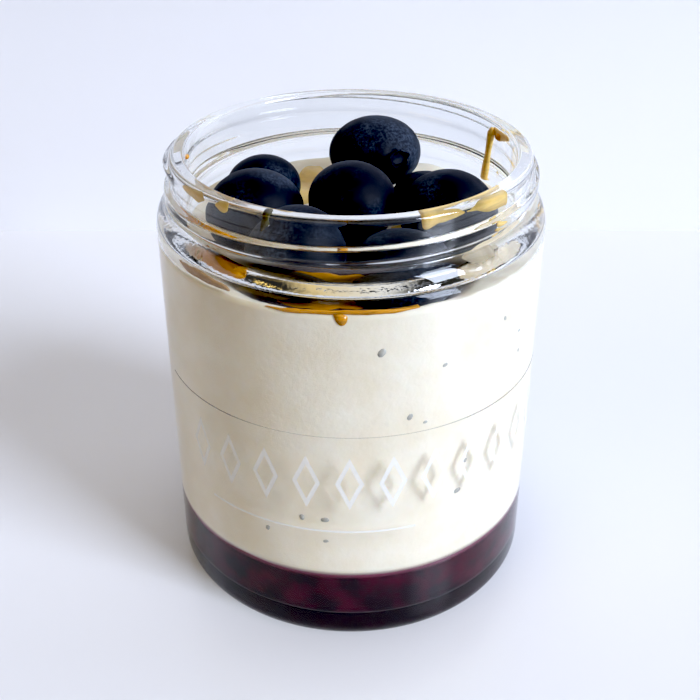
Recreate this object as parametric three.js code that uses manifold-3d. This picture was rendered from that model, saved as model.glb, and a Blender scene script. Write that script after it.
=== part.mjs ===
// A screw-top glass jar of chia pudding: a layer of fruit puree, a thick layer of pale pudding,
// and blueberries resting in the top of it. The jar is open, with its thread showing.
//
// Units are millimetres and +Z is up. The origin is the middle of the ring that the jar rests on.
// Angles round the jar start at the front (-Y) and run anticlockwise seen from above.

import * as THREE from 'three';
import { mergeVertices } from 'three/addons/utils/BufferGeometryUtils.js';
import Module from 'manifold-3d';

const wasm = await Module();
wasm.setup();

// Jar, outside
const jarHeight = 88.6;
const bodyRadius = 36.5;
const heelRadius = 4;
const restingRingInnerRadius = 30;
const pushUpRadius = 26.5;
const pushUpHeight = 1;
const shoulderStart = 74.5;
const shoulderHeight = 5.7;
const neckRadius = 33.2;
const rimOuterRounding = 1;

// Jar, inside
const mouthRadius = 30.2;
const neckFootRadius = 30.6;
const bodyInnerRadius = 33.9;
const rimInnerRounding = 0.8;
const innerLedgeStart = 75.2;
const innerLedgeHeight = 1;
const floorCentreHeight = 6;
const floorEdgeHeight = 5;
const floorCornerRadius = 2.9;

// Thread: one right-handed strand with a rounded crest
const threadPitch = 5.36;
const threadHeight = 1.3;
const threadHalfWidth = 2.6;
const threadStartAngle = -140;
const threadEndAngle = 300;
const threadFadeAngle = 30;
const threadFrontHeight = jarHeight - 6.04;
const threadFadeBelowRim = 1.9;

// Food levels, measured at the jar's wall
const pureeLevel = 15.7;
const puddingLevel = 73;
const puddingCentreSag = 0.9;
const clearance = 0.3;

// Fineness of the round shapes
const jarSides = 60;
const foodSides = 46;
const berrySides = 18;
const layerRings = 4;

// Each berry: its middle, its half sizes along X, Y and Z, and the way its crown faces
const berries = [
  { middle: [4.9, 18.8, 80.1], half: [9.5, 8.8, 7.1], crown: [0.52, -0.83, 0.17] },
  { middle: [0.15, -4.2, 79.9], half: [8.3, 8.2, 6.9], crown: [-0.47, -0.87, 0.16] },
  { middle: [-17.5, -5.1, 78.1], half: [9.1, 8.2, 7.7], crown: [-0.4, 0.7, -0.6] },
  { middle: [-17.2, 10.6, 76.2], half: [7.7, 7.3, 6.3], crown: [-0.6, 0.7, 0.4] },
  { middle: [17.5, -6.7, 78.8], half: [9, 7.9, 7.6], crown: [0.5, 0.6, -0.6] },
  { middle: [14.6, 7.6, 74.4], half: [7.3, 6.6, 5.8], crown: [0.8, 0.5, 0.3] },
  { middle: [-9.3, -19.9, 77.2], half: [8.7, 7.8, 7.8], crown: [0.3, 0.8, -0.5] },
  { middle: [8.5, -20.4, 74], half: [9.3, 8.1, 7.6], crown: [-0.2, 0.9, -0.4] },
];

const glass = { color: 0xdfe6e4, roughness: 0.05, metalness: 0 };
const puree = { color: 0x2c0c1c, roughness: 0.35, metalness: 0 };
const pudding = { color: 0xe6ddca, roughness: 0.6, metalness: 0 };
const berrySkin = { color: 0x141827, roughness: 0.45, metalness: 0 };

// Points along part of an ellipse, in (radius, height), angles in degrees from the outward side
function ellipseArc(middle, halfSizes, fromAngle, toAngle, steps) {
  const points = [];
  for (let step = 0; step <= steps; step += 1) {
    const angle = THREE.MathUtils.degToRad(fromAngle + (toAngle - fromAngle) * step / steps);
    const radius = middle[0] + halfSizes[0] * Math.cos(angle);
    points.push([radius, middle[1] + halfSizes[1] * Math.sin(angle)]);
  }
  return points;
}

// Points spaced evenly from one point to another, without the first
function straightRun(from, to, steps) {
  const points = [];
  for (let step = 1; step <= steps; step += 1) {
    const share = step / steps;
    points.push([from[0] + (to[0] - from[0]) * share, from[1] + (to[1] - from[1]) * share]);
  }
  return points;
}

// Merges shared corners and drops the triangles that close up at the axis
function closedGeometry(geometry) {
  const bare = geometry.clone();
  bare.deleteAttribute('normal');
  bare.deleteAttribute('uv');
  const merged = mergeVertices(bare, 1e-4);
  const corners = merged.index.array;
  const kept = [];
  for (let start = 0; start < corners.length; start += 3) {
    const [a, b, c] = corners.slice(start, start + 3);
    if (a !== b && b !== c && c !== a) {
      kept.push(a, b, c);
    }
  }
  merged.setIndex(kept);
  return merged;
}

// Turns a profile of (radius, height) points round the Z axis
function turned(profile, sides) {
  const points = profile.map(([radius, height]) => new THREE.Vector2(radius, height));
  const geometry = new THREE.LatheGeometry(points, sides);
  geometry.rotateX(Math.PI / 2);
  return closedGeometry(geometry);
}

// Moves each corner of a geometry by a function that edits the point it is given
function reshaped(geometry, moveCorner) {
  const positions = geometry.attributes.position;
  const corner = new THREE.Vector3();
  for (let index = 0; index < positions.count; index += 1) {
    corner.fromBufferAttribute(positions, index);
    moveCorner(corner);
    positions.setXYZ(index, corner.x, corner.y, corner.z);
  }
  return geometry;
}

// How far the thread stands out of the neck at one angle and height
function threadBulge(angle, height) {
  let bulge = 0;
  for (let turn = -1; turn <= 1; turn += 1) {
    const along = angle + 360 * turn;
    const crestHeight = threadFrontHeight + threadPitch * along / 360;
    const offset = (height - crestHeight) / threadHalfWidth;
    const fromStart = THREE.MathUtils.smoothstep(along - threadStartAngle, 0, threadFadeAngle);
    const fromEnd = THREE.MathUtils.smoothstep(threadEndAngle - along, 0, threadFadeAngle);
    if (Math.abs(offset) < 1) {
      bulge += threadHeight * Math.cos(offset * Math.PI / 2) ** 2 * fromStart * fromEnd;
    }
  }
  const depth = jarHeight - height;
  return bulge * THREE.MathUtils.smoothstep(depth, rimOuterRounding, threadFadeBelowRim);
}

function jarGeometry() {
  const heel = ellipseArc([bodyRadius - heelRadius, heelRadius], [heelRadius, heelRadius], -90, 0, 3);
  const shoulder = ellipseArc(
    [neckRadius, shoulderStart], [bodyRadius - neckRadius, shoulderHeight], 0, 90, 5);
  const neckFoot = [neckRadius, shoulderStart + shoulderHeight];
  const neckTop = [neckRadius, jarHeight - rimOuterRounding];
  const rimOutside = ellipseArc(
    [neckRadius - rimOuterRounding, neckTop[1]], [rimOuterRounding, rimOuterRounding], 0, 90, 2);
  const rimInside = ellipseArc(
    [mouthRadius + rimInnerRounding, jarHeight - rimInnerRounding],
    [rimInnerRounding, rimInnerRounding], 90, 180, 2);
  const innerLedge = straightRun(
    [neckFootRadius, innerLedgeStart + innerLedgeHeight], [bodyInnerRadius, innerLedgeStart], 2);
  const floorCorner = ellipseArc(
    [bodyInnerRadius - floorCornerRadius, floorEdgeHeight + floorCornerRadius],
    [floorCornerRadius, floorCornerRadius], 0, -90, 4);
  const profile = [
    [0, pushUpHeight],
    [pushUpRadius, pushUpHeight],
    [restingRingInnerRadius, 0],
    ...heel,
    ...shoulder,
    ...straightRun(neckFoot, neckTop, 7),
    ...rimOutside.slice(1),
    ...rimInside,
    [neckFootRadius, innerLedgeStart + innerLedgeHeight],
    ...innerLedge,
    ...floorCorner,
    [0, floorCentreHeight],
  ];
  const neckMiddleRadius = (mouthRadius + neckRadius) / 2;
  return reshaped(turned(profile, jarSides), (corner) => {
    const radius = Math.hypot(corner.x, corner.y);
    const isOuterNeck = corner.z > shoulderStart && radius > neckMiddleRadius;
    if (!isOuterNeck) {
      return;
    }
    const angle = THREE.MathUtils.radToDeg(Math.atan2(corner.x, -corner.y));
    const grown = 1 + threadBulge(angle, corner.z) / radius;
    corner.x *= grown;
    corner.y *= grown;
  });
}

// Slight unevenness of the face where puree and pudding meet
function layerWave(x, y) {
  return 0.35 * Math.sin(x / 6.1 + 0.8) * Math.cos(y / 7.3) + 0.2 * Math.sin((x - y) / 4.7);
}

// The spooned top of the pudding: lower in the middle, clinging to the wall, gently lumpy
function puddingTop(x, y) {
  const share = Math.hypot(x, y) / bodyInnerRadius;
  const sag = puddingCentreSag * (1 - share ** 4);
  const lumps = 0.5 * Math.sin(x / 5.3 + 1.1) * Math.sin(y / 6.2 - 0.4) + 0.25 * Math.cos((x + y) / 3.9);
  return puddingLevel - sag + lumps * (1 - share ** 6);
}

function pureeGeometry() {
  const wallRadius = bodyInnerRadius - clearance;
  const corner = ellipseArc(
    [bodyInnerRadius - floorCornerRadius, floorEdgeHeight + floorCornerRadius],
    [floorCornerRadius - clearance, floorCornerRadius - clearance], -90, 0, 3);
  const profile = [
    [0, floorCentreHeight + clearance],
    ...corner,
    [wallRadius, pureeLevel],
    ...straightRun([wallRadius, pureeLevel], [0, pureeLevel], layerRings),
  ];
  return reshaped(turned(profile, foodSides), (point) => {
    if (point.z > pureeLevel - clearance) {
      point.z += layerWave(point.x, point.y);
    }
  });
}

function puddingGeometry() {
  const wallRadius = bodyInnerRadius - clearance;
  const bottomLevel = pureeLevel + clearance;
  const profile = [
    [0, bottomLevel],
    ...straightRun([0, bottomLevel], [wallRadius, bottomLevel], layerRings),
    [wallRadius, puddingLevel],
    ...straightRun([wallRadius, puddingLevel], [0, puddingLevel], 8),
  ];
  return reshaped(turned(profile, foodSides), (point) => {
    if (point.z > puddingLevel - clearance) {
      point.z = puddingTop(point.x, point.y);
    } else {
      point.z += layerWave(point.x, point.y);
    }
  });
}

// A berry one unit in radius with its crown up: a round body, a low five-lobed lip and a dent
function unitBerryGeometry() {
  const bodyHeight = 0.94;
  const crownRadius = 0.34;
  const crownAngle = THREE.MathUtils.radToDeg(Math.acos(crownRadius));
  const lipHeight = 0.94;
  const profile = [
    ...ellipseArc([0, 0], [1, bodyHeight], -90, crownAngle, 8),
    [crownRadius - 0.02, lipHeight],
    [crownRadius - 0.1, 0.83],
    [0, 0.79],
  ];
  return reshaped(turned(profile, berrySides), (point) => {
    if (Math.abs(point.z - lipHeight) < 0.01) {
      const lobe = Math.cos(5 * Math.atan2(point.y, point.x));
      point.z += 0.02 * lobe;
      point.x *= 1 + 0.08 * lobe;
      point.y *= 1 + 0.08 * lobe;
    }
  });
}

// A berry turned so that its crown faces the given way, then squashed to its half sizes
function berryGeometry(berry, growth) {
  const up = new THREE.Vector3(0, 0, 1);
  const facing = new THREE.Vector3(...berry.crown).normalize();
  const turn = new THREE.Quaternion().setFromUnitVectors(up, facing);
  const geometry = unitBerryGeometry();
  geometry.applyQuaternion(turn);
  geometry.scale(...berry.half.map((half) => half + growth));
  return geometry;
}

function toSolid(geometry) {
  const vertProperties = new Float32Array(geometry.attributes.position.array);
  const triVerts = new Uint32Array(geometry.index.array);
  return new wasm.Manifold(new wasm.Mesh({ numProp: 3, vertProperties, triVerts }));
}

function toGeometry(solid) {
  const mesh = solid.getMesh();
  const geometry = new THREE.BufferGeometry();
  geometry.setAttribute('position', new THREE.BufferAttribute(new Float32Array(mesh.vertProperties), 3));
  geometry.setIndex(Array.from(mesh.triVerts));
  return geometry;
}

// The pudding with a hollow pressed into it under each berry
function dentedPuddingGeometry() {
  let solid = toSolid(puddingGeometry());
  for (const berry of berries) {
    const dent = berryGeometry(berry, clearance);
    dent.translate(...berry.middle);
    solid = solid.subtract(toSolid(dent));
  }
  return toGeometry(solid);
}

function addPiece(group, name, geometry, look) {
  const mesh = new THREE.Mesh(geometry, new THREE.MeshStandardMaterial(look));
  mesh.name = name;
  group.add(mesh);
  return mesh;
}

const jarOfPudding = new THREE.Group();
addPiece(jarOfPudding, 'jar', jarGeometry(), glass);
addPiece(jarOfPudding, 'fruit_puree', pureeGeometry(), puree);
addPiece(jarOfPudding, 'pudding', dentedPuddingGeometry(), pudding);
berries.forEach((berry, index) => {
  const mesh = addPiece(jarOfPudding, `berry_${index + 1}`, berryGeometry(berry, 0), berrySkin);
  mesh.position.set(...berry.middle);
});

export default jarOfPudding;
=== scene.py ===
import math
import random

import bmesh
import bpy
from mathutils import Matrix, Vector, noise


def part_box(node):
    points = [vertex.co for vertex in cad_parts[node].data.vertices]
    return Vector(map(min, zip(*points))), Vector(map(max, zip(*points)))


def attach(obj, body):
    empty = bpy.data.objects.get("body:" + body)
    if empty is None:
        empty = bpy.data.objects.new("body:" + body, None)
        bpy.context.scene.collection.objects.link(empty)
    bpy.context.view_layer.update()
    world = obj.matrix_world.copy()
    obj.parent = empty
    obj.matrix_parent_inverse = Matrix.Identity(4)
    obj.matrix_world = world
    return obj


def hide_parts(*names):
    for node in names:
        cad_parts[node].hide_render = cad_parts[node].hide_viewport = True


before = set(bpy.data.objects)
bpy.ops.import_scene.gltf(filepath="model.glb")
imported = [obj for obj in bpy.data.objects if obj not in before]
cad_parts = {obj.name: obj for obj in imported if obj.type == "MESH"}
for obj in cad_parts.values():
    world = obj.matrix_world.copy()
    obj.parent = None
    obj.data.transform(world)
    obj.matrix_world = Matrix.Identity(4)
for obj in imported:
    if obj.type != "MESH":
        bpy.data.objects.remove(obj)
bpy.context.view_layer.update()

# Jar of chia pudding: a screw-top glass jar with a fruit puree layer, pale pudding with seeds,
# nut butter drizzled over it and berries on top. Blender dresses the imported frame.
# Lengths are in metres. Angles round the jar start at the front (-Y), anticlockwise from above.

bl_info = {
    "name": "Jar of chia pudding",
    "version": (1, 0, 0),
    "blender": (4, 5, 0),
    "location": "3D View > Sidebar > Pudding jar",
    "description": "Builds a glass jar of chia pudding with berries, and its stage",
    "category": "Add Mesh",
}

MM = 0.001
BODY = "root"
JAR_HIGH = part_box("jar")[1]
BERRY_NODES = sorted(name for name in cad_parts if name.startswith("berry_"))
# The dip among the front berries: its middle and half sizes along X and Y, and its depth
DIP_MIDDLE = (0, -16 * MM)
DIP_HALF = (22 * MM, 19 * MM)
DIP_DEPTH = 3.2 * MM


# -------- settings


def number(name, description, default, **kind):
    """A setting that holds one number, with its unit or subtype."""
    return bpy.props.FloatProperty(name=name, description=description, default=default, **kind)


def length(name, description, millimetres):
    """A length that is given in millimetres and kept in metres."""
    return number(name, description, millimetres * MM, unit="LENGTH", subtype="DISTANCE")


def angle(name, description, degrees):
    return number(name, description, math.radians(degrees), subtype="ANGLE")


def power(name, description, watts):
    return number(name, description, watts, unit="POWER")


def colour(name, description, value):
    return bpy.props.FloatVectorProperty(
        name=name, description=description, default=value, size=3, subtype="COLOR", min=0, max=1
    )


def group_of(kind, name, description):
    return bpy.props.PointerProperty(type=kind, name=name, description=description)


class JarSettings(bpy.types.PropertyGroup):
    """Sizes and tint of the glass jar."""

    height: length("Height", "Height of the jar over its rim", JAR_HIGH[2] / MM)
    body_radius: length("Body radius", "Outer radius of the straight body", JAR_HIGH[0] / MM)
    heel_radius: length("Heel rounding", "Rounding between the wall and the base", 4)
    ring_radius: length("Resting ring", "Inner radius of the ring that the jar rests on", 30)
    hollow_radius: length("Base hollow radius", "Radius of the raised middle of the base", 26.5)
    hollow_height: length("Base hollow height", "How far the middle of the base is raised", 1)
    shoulder_start: length("Shoulder start", "Height where the shoulder starts to curve in", 74.5)
    shoulder_height: length("Shoulder height", "Height that the shoulder takes up", 5.7)
    neck_radius: length("Neck radius", "Outer radius of the neck between the threads", 33.2)
    rim_rounding: length("Rim rounding", "Outer rounding of the rim", 1)
    lip_rounding: length("Lip rounding", "Inner rounding of the rim", 0.8)
    mouth_radius: length("Mouth radius", "Inner radius of the neck at the rim", 30.2)
    neck_foot_radius: length("Neck foot radius", "Inner radius at the foot of the neck", 30.6)
    inner_radius: length("Inner radius", "Inner radius of the body", 33.9)
    ledge_start: length("Inner ledge", "Height where the inside steps in to the neck", 75.2)
    ledge_height: length("Inner ledge height", "Height that the step takes up", 1)
    floor_middle: length("Floor height in the middle", "Height of the inner floor in its middle", 6)
    floor_edge: length("Floor height at the edge", "Height of the inner floor at its edge", 5)
    floor_corner: length("Floor corner", "Rounding between the inner floor and the wall", 2.9)
    thread_pitch: length("Thread pitch", "Rise of the thread in one turn", 5.36)
    thread_height: length("Thread height", "How far the thread stands out of the neck", 1.3)
    thread_depth: length("Thread depth", "Depth of the thread's guide line below the rim, in front", 6)
    crest_above: length("Crest above", "How far the flat crest reaches above the guide line", 1.2)
    crest_below: length("Crest below", "How far the flat crest reaches below the guide line", 0.3)
    upper_flank: length("Upper flank", "Height of the steep flank above the crest", 0.5)
    lower_flank: length("Lower flank", "Height of the gentle flank below the crest", 1.9)
    thread_start: angle("Thread start", "Angle round the jar where the thread begins", -140)
    thread_end: angle("Thread end", "Angle round the jar where the thread ends", 300)
    thread_fade: angle("Thread fade", "Angle over which each end of the thread fades", 30)
    seam_angle: angle("Mould seam", "Angle of the front mould seam", 1.75)
    seam_height: length("Mould seam height", "How far the mould seam stands out", 0.07)
    tint: colour("Glass tint", "Colour of the glass", (0.97, 0.985, 0.98))


class FoodSettings(bpy.types.PropertyGroup):
    """Levels and colours of the food, and colours of the print."""

    puree_level: length("Puree level", "Height of the face between puree and pudding", 15.7)
    pudding_level: length("Pudding level", "Height of the pudding at the wall", 73)
    centre_sag: length("Centre sag", "How much lower the pudding is in its middle", 0.9)
    into_wall: length("Reach into the wall", "How far the food reaches into the glass", 0.1)
    puree_dark: colour("Puree, dark", "Darkest colour of the puree", (0.010, 0.0015, 0.005))
    puree_red: colour("Puree, red", "Colour of its redder patches", (0.055, 0.003, 0.014))
    puree_edge: colour("Puree edge", "Colour where the puree stains the pudding", (0.26, 0.07, 0.12))
    pudding: colour("Pudding", "Main colour of the pudding", (0.95, 0.88, 0.755))
    pudding_shade: colour("Pudding, darker", "Colour of its darker patches", (0.87, 0.77, 0.60))
    # Painted shade: a dark colour laid on the pudding in the dip among the front berries, where shade falls
    dip_shade: colour("Dip shade", "Colour of the painted shade in the dip among the berries", (0.05, 0.03, 0.035))
    seed: colour("Seeds", "Colour of the seeds", (0.50, 0.48, 0.43))
    berry_skin: colour("Berry skin", "Colour of a berry's bare skin", (0.007, 0.007, 0.011))
    berry_bloom: colour("Berry bloom", "Colour of the waxy bloom on a berry", (0.060, 0.075, 0.108))
    nut_butter: colour("Nut butter", "Colour of thick nut butter", (0.74, 0.33, 0.02))
    nut_butter_thin: colour("Thin nut butter", "Colour of nut butter smeared thin", (0.86, 0.58, 0.17))
    # Painted shade: nut butter darkened to near black for a patch on the neck that lies in shade
    shaded_film: colour("Shaded film", "Colour of nut butter as a film darkened with painted shade", (0.10, 0.09, 0.04))
    smeared_pudding: colour("Smeared pudding", "Colour of smeared pudding", (0.72, 0.60, 0.42))
    stained_pudding: colour("Stained pudding", "Colour of pudding with nut butter in it", (0.50, 0.32, 0.16))
    print_white: colour("Print", "Colour of the printed shapes", (0.90, 0.90, 0.88))
    print_fine: colour("Fine line", "Colour of the fine line above them", (0.20, 0.17, 0.13))


class StageSettings(bpy.types.PropertyGroup):
    """Camera, floor, wall and light."""

    camera_distance: length("Camera distance", "Distance from the jar's axis, along the floor", 191.442)
    camera_height: length("Camera height", "Height of the camera above the floor", 161.53)
    camera_pitch: angle("Camera pitch", "How far the camera looks down", 31.4)
    wall_distance: length("Wall distance", "Distance of the wall behind the jar's axis", 152)
    floor_colour: colour("Floor", "Colour of the floor", (0.835, 0.845, 0.885))
    wall_colour: colour("Wall", "Colour of the wall", (0.88, 0.89, 0.935))
    far_floor_colour: colour("Far floor", "Colour of the floor well in front of the jar", (0.12, 0.12, 0.13))
    window_power: power("Window power", "Power of the cool window light at the right", 220)
    lamp_power: power("Lamp power", "Power of the weak warm light at the left", 17)
    room_tone: colour("Room", "Dim light from all round", (0.055, 0.053, 0.05))
    ceiling_left: colour("Ceiling, left", "Light of the ceiling at the left", (0.80, 0.62, 0.32))
    ceiling_right: colour("Ceiling, right", "Light of the ceiling at the right", (0.86, 0.84, 0.80))
    black_level: number("Black level", "Brightness that is shown as black", 0.036)


class PuddingJarSettings(bpy.types.PropertyGroup):
    """All the settings of the pudding jar."""

    jar: group_of(JarSettings, "Jar", "Sizes of the glass jar")
    food: group_of(FoodSettings, "Food", "Levels and colours of the food and the print")
    stage: group_of(StageSettings, "Stage", "Camera, floor, wall and light")


def settings():
    return bpy.context.scene.pudding_jar


# -------- shapes


def mix(start, end, share):
    return start + (end - start) * share


def smooth_step(value, low, high):
    share = min(max((value - low) / (high - low), 0), 1)
    return share * share * (3 - 2 * share)


def ellipse_arc(middle, half_sizes, from_degrees, to_degrees, steps):
    """Points along part of an ellipse, in (radius, height), from the outward side."""
    points = []
    for step in range(steps + 1):
        turn = math.radians(mix(from_degrees, to_degrees, step / steps))
        radius = middle[0] + half_sizes[0] * math.cos(turn)
        height = middle[1] + half_sizes[1] * math.sin(turn)
        points.append((radius, height))
    return points


def round_arc(middle, radius, from_degrees, to_degrees, steps):
    return ellipse_arc(middle, (radius, radius), from_degrees, to_degrees, steps)


def straight_run(start, end, spacing):
    """Points from one (radius, height) to another, without the first."""
    steps = max(1, round(math.dist(start, end) / spacing))
    shares = [step / steps for step in range(1, steps + 1)]
    return [(mix(start[0], end[0], share), mix(start[1], end[1], share)) for share in shares]


def joined_profile(points, *parts):
    """Points, then each (spacing, points) part after a straight run to its first point."""
    profile = list(points)
    for spacing, part in parts:
        profile += straight_run(profile[-1], part[0], spacing)
        profile += part[1:]
    return profile


def spun(profile, steps):
    """A bmesh turned from a (radius, height) profile round the Z axis, faces outwards."""
    bm = bmesh.new()
    verts = [bm.verts.new((radius, 0, height)) for radius, height in profile]
    edges = [bm.edges.new(pair) for pair in zip(verts, verts[1:])]
    bmesh.ops.spin(
        bm, geom=verts + edges, cent=(0, 0, 0), axis=(0, 0, 1), dvec=(0, 0, 0),
        angle=math.tau, steps=steps, use_merge=True, use_duplicate=False,
    )
    bmesh.ops.remove_doubles(bm, verts=bm.verts, dist=1e-7)
    bmesh.ops.recalc_face_normals(bm, faces=bm.faces)
    return bm


def joined_bmesh(parts):
    """Several bmeshes as one. They are freed."""
    joined = bmesh.new()
    carrier = bpy.data.meshes.new("carrier")
    for part in parts:
        part.to_mesh(carrier)
        part.free()
        joined.from_mesh(carrier)
    bpy.data.meshes.remove(carrier)
    return joined


def on_circle(turn, radius, height):
    """A point round the jar, its turn counted from the front."""
    return Vector((radius * math.sin(turn), -radius * math.cos(turn), height))


def link_object(name, data):
    """A new object in the scene, at the origin."""
    made = bpy.data.objects.new(name, data)
    bpy.context.scene.collection.objects.link(made)
    return made


def mesh_object(name, bm, *materials):
    """Turns a bmesh into an object with its materials."""
    mesh = bpy.data.meshes.new(name)
    bm.to_mesh(mesh)
    bm.free()
    for material in materials:
        mesh.materials.append(material)
    return link_object(name, mesh)


def add_piece(name, bm, material, replaced=None):
    """Turns a bmesh into a smooth piece that rides on the jar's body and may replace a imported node."""
    piece = mesh_object(name, bm, material)
    piece.data.shade_smooth()
    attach(piece, BODY)
    if replaced:
        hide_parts(replaced)


def inner_wall_radius(height):
    """Radius of the jar's inner wall at a height above its floor corner."""
    jar = settings().jar
    foot = jar.ledge_start + jar.ledge_height
    if height >= foot:
        share = min((height - foot) / (jar.height - jar.lip_rounding - foot), 1)
        return mix(jar.neck_foot_radius, jar.mouth_radius, share)
    rise = max(height - jar.ledge_start, 0) / jar.ledge_height
    half_eased = mix(rise, smooth_step(rise, 0, 1), 0.5)
    return mix(jar.inner_radius, jar.neck_foot_radius, half_eased)


# -------- shader nodes


# Sockets of a Mix node that blends colours
MIX_SHARE, MIX_FIRST, MIX_SECOND, MIX_RESULT = 0, 6, 7, 2


def plug(tree, socket, value):
    """Links a socket to another one, or sets it to a number, a vector or a colour."""
    if isinstance(value, bpy.types.NodeSocket):
        tree.links.new(value, socket)
    elif socket.type == "RGBA":
        socket.default_value = (*value[:3], 1)
    else:
        socket.default_value = value


def add_node(tree, kind, inputs=None, **attributes):
    """A node with its attributes set and its inputs plugged."""
    node = tree.nodes.new(kind)
    for attribute, value in attributes.items():
        setattr(node, attribute, value)
    for name, value in (inputs or {}).items():
        plug(tree, node.inputs[name], value)
    return node


def calculate(tree, operation, *values, clamped=False):
    """The result of a Math node."""
    node = add_node(tree, "ShaderNodeMath", dict(enumerate(values)), operation=operation, use_clamp=clamped)
    return node.outputs[0]


def dimmed(tone, share):
    return [share * value for value in tone]


def blend_colours(tree, share, first, second):
    """Mix of two colours by a share, from the first at 0 to the second at 1."""
    inputs = {MIX_SHARE: share, MIX_FIRST: first, MIX_SECOND: second}
    return add_node(tree, "ShaderNodeMix", inputs, data_type="RGBA").outputs[MIX_RESULT]


def grey_ramp(tree, value, low, high):
    """A grey that eases from one (value, grey) stop to another."""
    node = add_node(tree, "ShaderNodeValToRGB", {"Fac": value})
    node.color_ramp.interpolation = "EASE"
    for element, (position, grey) in zip(node.color_ramp.elements, (low, high)):
        element.position = position
        element.color = (grey, grey, grey, 1)
    return node.outputs["Color"]


def share_between(tree, value, low, high):
    """0 where a value is low and 1 where it is high."""
    inputs = {"Value": value, "From Min": low, "From Max": high}
    return add_node(tree, "ShaderNodeMapRange", inputs).outputs["Result"]


def object_place(tree):
    return add_node(tree, "ShaderNodeTexCoord").outputs["Object"]


def object_axis(tree, axis):
    """One of a piece's own X, Y and Z."""
    return add_node(tree, "ShaderNodeSeparateXYZ", {0: object_place(tree)}).outputs[axis]


def scaled_place(tree, scale, shift=(0, 0, 0)):
    """Object coordinates that are scaled and then shifted."""
    inputs = {"Vector": object_place(tree), "Scale": scale, "Location": shift}
    return add_node(tree, "ShaderNodeMapping", inputs).outputs["Vector"]


def vector_length(tree, vector):
    return add_node(tree, "ShaderNodeVectorMath", {0: vector}, operation="LENGTH").outputs["Value"]


def height_share(tree, low, high):
    """0 below one height and 1 above another."""
    return share_between(tree, object_axis(tree, "Z"), low, high)


def height_band(tree, middle, half_height):
    """1 at one height, fading to 0 above and below it."""
    off = calculate(tree, "SUBTRACT", object_axis(tree, "Z"), middle)
    return share_between(tree, calculate(tree, "ABSOLUTE", off), half_height, 0)


def add_noise(tree, place, scale, detail, roughness=0.5):
    inputs = {"Vector": place, "Scale": scale, "Detail": detail, "Roughness": roughness}
    return add_node(tree, "ShaderNodeTexNoise", inputs).outputs["Fac"]


def add_bump(tree, height, strength, distance, under=None):
    """The normal of a surface raised by a height, on top of another normal if one is given."""
    bump = add_node(tree, "ShaderNodeBump", {"Height": height, "Strength": strength, "Distance": distance})
    if under is not None:
        plug(tree, bump.inputs["Normal"], under)
    return bump.outputs["Normal"]


def mottle_group():
    """Soft cloudy mottling from two sizes of noise: a mask and a height."""
    group = bpy.data.node_groups.new("Mottle", "ShaderNodeTree")
    for name, value in (("Size", 200), ("Fine size", 1500), ("Contrast", 2)):
        socket = group.interface.new_socket(name, in_out="INPUT", socket_type="NodeSocketFloat")
        socket.default_value = value
    for name in ("Mask", "Height"):
        group.interface.new_socket(name, in_out="OUTPUT", socket_type="NodeSocketFloat")
    given = add_node(group, "NodeGroupInput").outputs
    place = object_place(group)
    broad = add_noise(group, place, given["Size"], 3, 0.55)
    fine = add_noise(group, place, given["Fine size"], 4, 0.6)
    centred = calculate(group, "SUBTRACT", broad, 0.5)
    stretched = calculate(group, "MULTIPLY", centred, given["Contrast"])
    mask = calculate(group, "ADD", stretched, 0.5, clamped=True)
    height = calculate(group, "MULTIPLY_ADD", fine, 0.35, broad)
    add_node(group, "NodeGroupOutput", {"Mask": mask, "Height": height})
    return group


def add_mottle(tree, size, fine_size, contrast):
    """The mask and the height of the shared mottling, at its own sizes and contrast."""
    group = bpy.data.node_groups.get("Mottle") or mottle_group()
    inputs = {"Size": size, "Fine size": fine_size, "Contrast": contrast}
    node = add_node(tree, "ShaderNodeGroup", inputs, node_tree=group)
    return node.outputs["Mask"], node.outputs["Height"]


# -------- materials


def new_material(name):
    """A material with one Principled shader, and its tree."""
    material = bpy.data.materials.new(name)
    material.use_nodes = True
    return material, material.node_tree


def set_looks(tree, looks):
    """Plugs the inputs of a material's Principled shader."""
    shader = tree.nodes["Principled BSDF"]
    for name, value in looks.items():
        plug(tree, shader.inputs[name], value)


def clear_by_share(tree, share, tone):
    """Lets light straight through a material by a share, tinted."""
    shader = tree.nodes["Principled BSDF"]
    clear = add_node(tree, "ShaderNodeBsdfTransparent", {"Color": tone})
    inputs = {0: share, 1: shader.outputs["BSDF"], 2: clear.outputs["BSDF"]}
    joined = add_node(tree, "ShaderNodeMixShader", inputs)
    plug(tree, tree.nodes["Material Output"].inputs["Surface"], joined.outputs["Shader"])


def glass_material():
    """Clear glass that bends what is seen through it but lets lamps reach the food."""
    jar = settings().jar
    material, tree = new_material("Clear glass")
    place = object_place(tree)
    ripples = add_noise(tree, place, 160, 2)
    grain = add_noise(tree, place, 1500, 2)
    near_ledge = height_band(tree, jar.ledge_start + 0.5 * jar.ledge_height, 1.2 * MM)
    rippled = add_bump(tree, ripples, 0.05, 0.4 * MM)
    grainy = add_bump(tree, calculate(tree, "MULTIPLY", grain, near_ledge), 0.2, 0.1 * MM, rippled)
    set_looks(tree, {
        "Base Color": jar.tint,
        "Roughness": 0,
        "IOR": 1.5,
        "Transmission Weight": 1,
        "Normal": grainy,
    })
    path = add_node(tree, "ShaderNodeLightPath").outputs
    lamp_or_food = calculate(tree, "MAXIMUM", path["Is Shadow Ray"], path["Is Diffuse Ray"])
    clear_by_share(tree, lamp_or_food, (0.93, 0.945, 0.94))
    return material


def puree_material():
    """Dark wet puree with redder patches, staining the pudding along its top edge."""
    food = settings().food
    material, tree = new_material("Fruit puree")
    mask, relief = add_mottle(tree, 200, 1400, 4)
    body = blend_colours(tree, mask, food.puree_dark, food.puree_red)
    edge = height_share(tree, food.puree_level - 0.7 * MM, food.puree_level + 0.5 * MM)
    set_looks(tree, {
        "Base Color": blend_colours(tree, edge, body, food.puree_edge),
        "Roughness": 0.35,
        "Specular IOR Level": 0.05,
        "Normal": add_bump(tree, relief, 0.12, 0.5 * MM),
    })
    return material


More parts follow.
